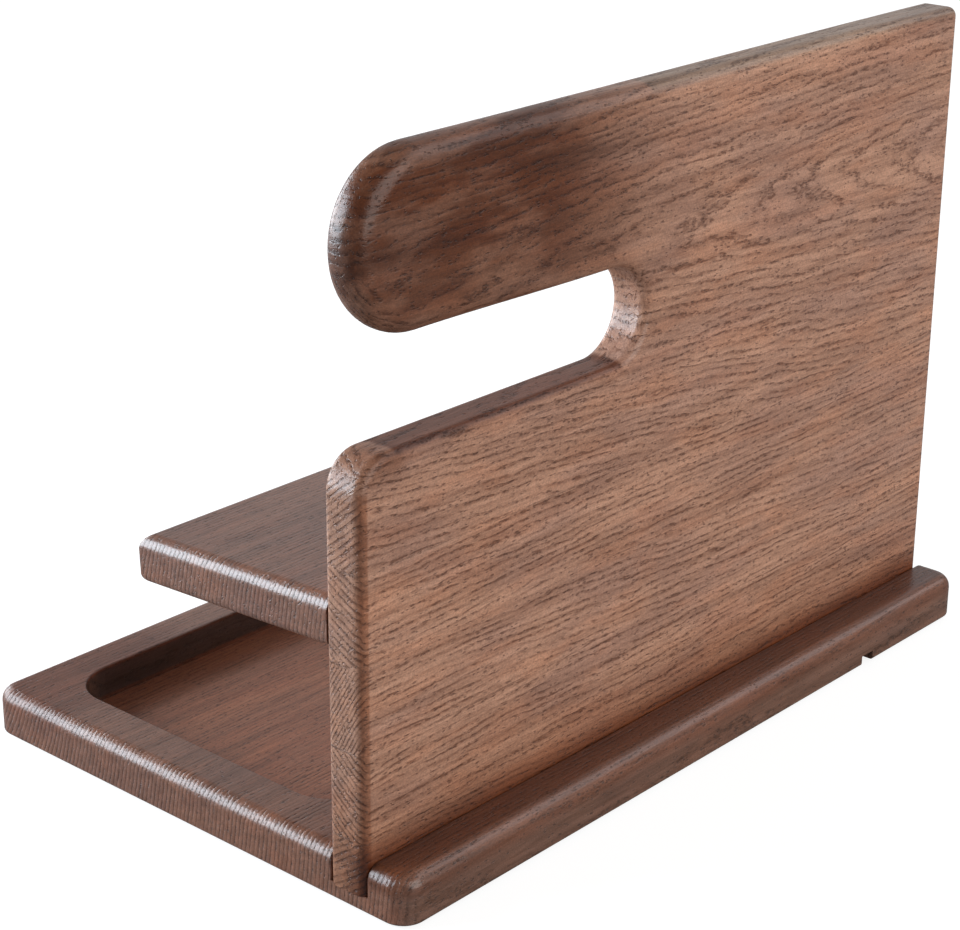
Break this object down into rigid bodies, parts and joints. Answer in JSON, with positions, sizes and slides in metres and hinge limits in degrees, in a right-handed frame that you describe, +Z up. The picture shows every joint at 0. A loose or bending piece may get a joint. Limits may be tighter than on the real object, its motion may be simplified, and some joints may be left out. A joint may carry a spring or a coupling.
{
  "type": "wooden desk valet stand",
  "caption": "Knock-down wooden valet stand: base with milled coin tray and phone ledge, upright panel whose tongue holds watches, and a glasses shelf.",
  "frame": {"origin": "middle of the footprint, on the plane that the foot pads rest on", "axes": "+X towards the coin tray and watch arm end, -Y towards the front where the shelf, ledge and tray are used, +Z up"},
  "size_m": [0.2538, 0.16, 0.1908],
  "materials": {
    "base_wood": "satin lacquer over dark walnut stain",
    "panel_wood": "satin lacquer over dark walnut stain",
    "shelf_wood": "satin lacquer over dark walnut stain",
    "ledge_wood": "satin lacquer over dark walnut stain",
    "dowel_wood": "bare beech",
    "pad_felt": "pressed felt"
  },
  "bodies": {
    "base": {"base_board": "base_wood", "foot_pad_front_near": "pad_felt", "foot_pad_front_far": "pad_felt", "foot_pad_rear_near": "pad_felt", "foot_pad_rear_far": "pad_felt"},
    "panel": {"back_panel": "panel_wood"},
    "shelf": {"glasses_shelf": "shelf_wood", "shelf_dowel_outer": "dowel_wood", "shelf_dowel_inner": "dowel_wood"},
    "ledge": {"phone_ledge": "ledge_wood", "ledge_dowel_outer": "dowel_wood", "ledge_dowel_inner": "dowel_wood"}
  },
  "joints": [
    {"name": "lift_panel", "type": "slide", "parent": "base", "child": "panel", "axis": [0, 0, 1], "range_m": [0, 0.025]},
    {"name": "pull_shelf", "type": "slide", "parent": "panel", "child": "shelf", "axis": [0, -1, 0], "range_m": [0, 0.025]},
    {"name": "pull_ledge", "type": "slide", "parent": "panel", "child": "ledge", "axis": [0, -1, 0], "range_m": [0, 0.025]}
  ]
}
